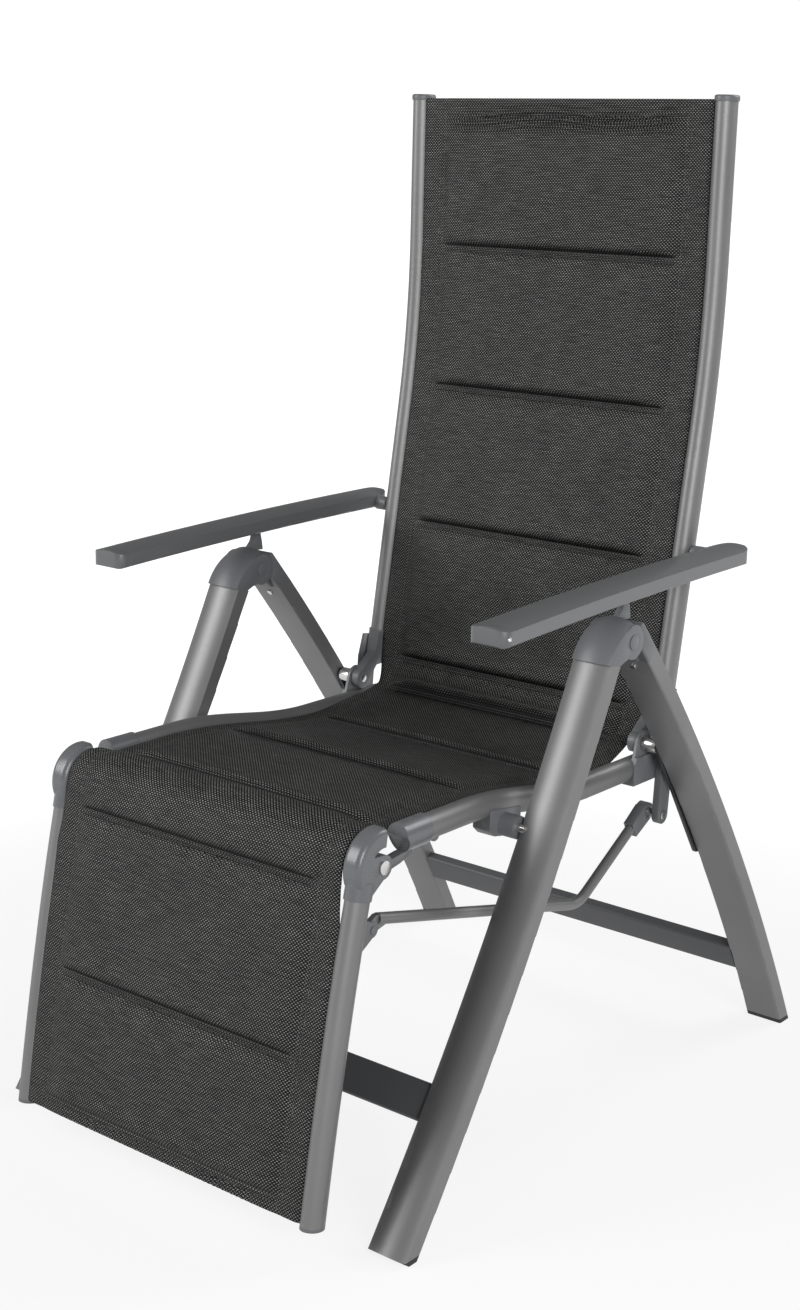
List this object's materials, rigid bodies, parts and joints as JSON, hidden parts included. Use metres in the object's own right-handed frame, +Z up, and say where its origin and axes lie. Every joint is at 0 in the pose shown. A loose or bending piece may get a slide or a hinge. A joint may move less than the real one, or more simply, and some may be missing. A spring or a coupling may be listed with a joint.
{
  "type": "reclining garden armchair",
  "caption": "Folding high-back garden recliner with a padded mesh sling, swinging armrests on posts and a leg rest tied to the back by rods.",
  "frame": {"origin": "centre of the box round the chair as pictured, at floor height", "axes": "+Z up, the sitter faces -Y, +X is the sitter's left"},
  "size_m": [0.6016, 0.8857, 1.177],
  "materials": {
    "frame_grey": "satin anodised grey",
    "plastic_grey": "fine matt",
    "sling_black": "padded mesh",
    "steel_bright": "bright",
    "rubber_dark": "matt",
    "steel_dark": "satin"
  },
  "bodies": {
    "front_frame": {"front_leg_left": "frame_grey", "front_leg_right": "frame_grey", "front_crossbar": "frame_grey", "front_foot_caps": "rubber_dark", "top_joint_left": "plastic_grey", "top_joint_right": "plastic_grey", "leg_pivot_pins": "steel_bright", "seat_pivot_pins": "steel_bright"},
    "rear_legs": {"rear_leg_left": "frame_grey", "rear_leg_right": "frame_grey", "rear_crossbar": "frame_grey", "rear_foot_caps": "rubber_dark", "rear_leg_top_left": "plastic_grey", "rear_leg_top_right": "plastic_grey", "rear_leg_screws": "steel_bright", "link_rivets": "steel_bright"},
    "seat": {"seat_tube_left": "frame_grey", "seat_tube_right": "frame_grey", "seat_crossbars": "frame_grey", "seat_bracket_left": "plastic_grey", "seat_bracket_right": "plastic_grey", "seat_hinge_left": "plastic_grey", "seat_hinge_right": "plastic_grey", "knee_sleeve_left": "plastic_grey", "knee_sleeve_right": "plastic_grey", "seat_end_caps": "plastic_grey", "seat_pad": "sling_black"},
    "back_axles": {"rear_hinge_axles": "steel_bright"},
    "back": {"back_tube_left": "frame_grey", "back_tube_right": "frame_grey", "back_crossbars": "frame_grey", "back_end_caps": "plastic_grey", "back_knuckle_left": "plastic_grey", "back_knuckle_right": "plastic_grey", "back_pad": "sling_black"},
    "knee_pins": {"knee_pins": "steel_bright"},
    "leg_rest": {"footrest_tube_left": "frame_grey", "footrest_tube_right": "frame_grey", "footrest_knuckle_left": "plastic_grey", "footrest_knuckle_right": "plastic_grey", "footrest_crossbars": "frame_grey", "footrest_end_caps": "plastic_grey", "rod_ears": "frame_grey", "footrest_pad": "sling_black"},
    "arm_pins": {"armrest_pins": "steel_bright"},
    "rod_pins": {"rod_pins": "steel_bright"},
    "link_left": {"link_bar_left": "steel_dark"},
    "armrest_left": {"armrest_left": "frame_grey", "armrest_caps_left": "plastic_grey", "armrest_hinge_left": "plastic_grey", "armrest_rack_left": "plastic_grey"},
    "rod_left": {"sync_rod_left": "frame_grey", "rod_elbow_left": "plastic_grey"},
    "link_right": {"link_bar_right": "steel_dark"},
    "armrest_right": {"armrest_right": "frame_grey", "armrest_caps_right": "plastic_grey", "armrest_hinge_right": "plastic_grey", "armrest_rack_right": "plastic_grey"},
    "rod_right": {"sync_rod_right": "frame_grey", "rod_elbow_right": "plastic_grey"}
  },
  "joints": [
    {"name": "leg_fold", "type": "hinge", "parent": "front_frame", "child": "rear_legs", "pos_m": [0, -0.00112, 0.592], "axis": [-1, 0, 0], "range_deg": [0, 53.1]},
    {"name": "seat_fold", "type": "hinge", "parent": "front_frame", "child": "seat", "pos_m": [0, -0.13212, 0.4], "axis": [-1, 0, 0], "range_deg": [0, 47.99]},
    {"name": "back_fold", "type": "hinge", "parent": "seat", "child": "back_axles", "pos_m": [0, 0.15388, 0.428], "axis": [-1, 0, 0], "range_deg": [-47.99, 0]},
    {"name": "back_recline", "type": "hinge", "parent": "back_axles", "child": "back", "pos_m": [0, 0.15388, 0.428], "axis": [-1, 0, 0], "range_deg": [0, 36]},
    {"name": "knee_fold", "type": "hinge", "parent": "seat", "child": "knee_pins", "pos_m": [0, -0.33812, 0.4055], "axis": [-1, 0, 0], "range_deg": [-58.65, 0]},
    {"name": "leg_rest_swing", "type": "hinge", "parent": "knee_pins", "child": "leg_rest", "pos_m": [0, -0.33812, 0.4055], "axis": [-1, 0, 0], "range_deg": [0, 67.85]},
    {"name": "arm_fold", "type": "hinge", "parent": "back", "child": "arm_pins", "pos_m": [0, 0.22788, 0.65], "axis": [-1, 0, 0], "range_deg": [0, 58.99]},
    {"name": "rod_fold", "type": "hinge", "parent": "back", "child": "rod_pins", "pos_m": [0, 0.18188, 0.334], "axis": [-1, 0, 0], "range_deg": [0, 45.23]},
    {"name": "link_left_swing", "type": "hinge", "parent": "rear_legs", "child": "link_left", "pos_m": [0, 0.25338, 0.2785], "axis": [-1, 0, 0], "range_deg": [0, 68.59]},
    {"name": "armrest_left_swing", "type": "hinge", "parent": "arm_pins", "child": "armrest_left", "pos_m": [0, 0.22788, 0.65], "axis": [-1, 0, 0], "range_deg": [-21.44, 0]},
    {"name": "rod_left_swing", "type": "hinge", "parent": "rod_pins", "child": "rod_left", "pos_m": [0, 0.18188, 0.334], "axis": [-1, 0, 0], "range_deg": [-30.93, 0]},
    {"name": "link_right_swing", "type": "hinge", "parent": "rear_legs", "child": "link_right", "pos_m": [0, 0.25338, 0.2785], "axis": [-1, 0, 0], "range_deg": [0, 68.59]},
    {"name": "armrest_right_swing", "type": "hinge", "parent": "arm_pins", "child": "armrest_right", "pos_m": [0, 0.22788, 0.65], "axis": [-1, 0, 0], "range_deg": [-21.44, 0]},
    {"name": "rod_right_swing", "type": "hinge", "parent": "rod_pins", "child": "rod_right", "pos_m": [0, 0.18188, 0.334], "axis": [-1, 0, 0], "range_deg": [-30.93, 0]}
  ],
  "couplings": [
    {"joint": "seat_fold", "follows": "leg_fold", "ratio": 0.9029},
    {"joint": "back_fold", "follows": "leg_fold", "ratio": -0.9029},
    {"joint": "knee_fold", "follows": "leg_fold", "ratio": -1.1035},
    {"joint": "leg_rest_swing", "follows": "back_recline", "ratio": 1.8834},
    {"joint": "arm_fold", "follows": "leg_fold", "ratio": 1.1099},
    {"joint": "rod_fold", "follows": "leg_fold", "ratio": 0.8508},
    {"joint": "link_left_swing", "follows": "leg_fold", "ratio": 1.2908},
    {"joint": "armrest_left_swing", "follows": "back_recline", "ratio": -0.5942},
    {"joint": "rod_left_swing", "follows": "back_recline", "ratio": -0.8579},
    {"joint": "link_right_swing", "follows": "leg_fold", "ratio": 1.2908},
    {"joint": "armrest_right_swing", "follows": "back_recline", "ratio": -0.5942},
    {"joint": "rod_right_swing", "follows": "back_recline", "ratio": -0.8579}
  ]
}
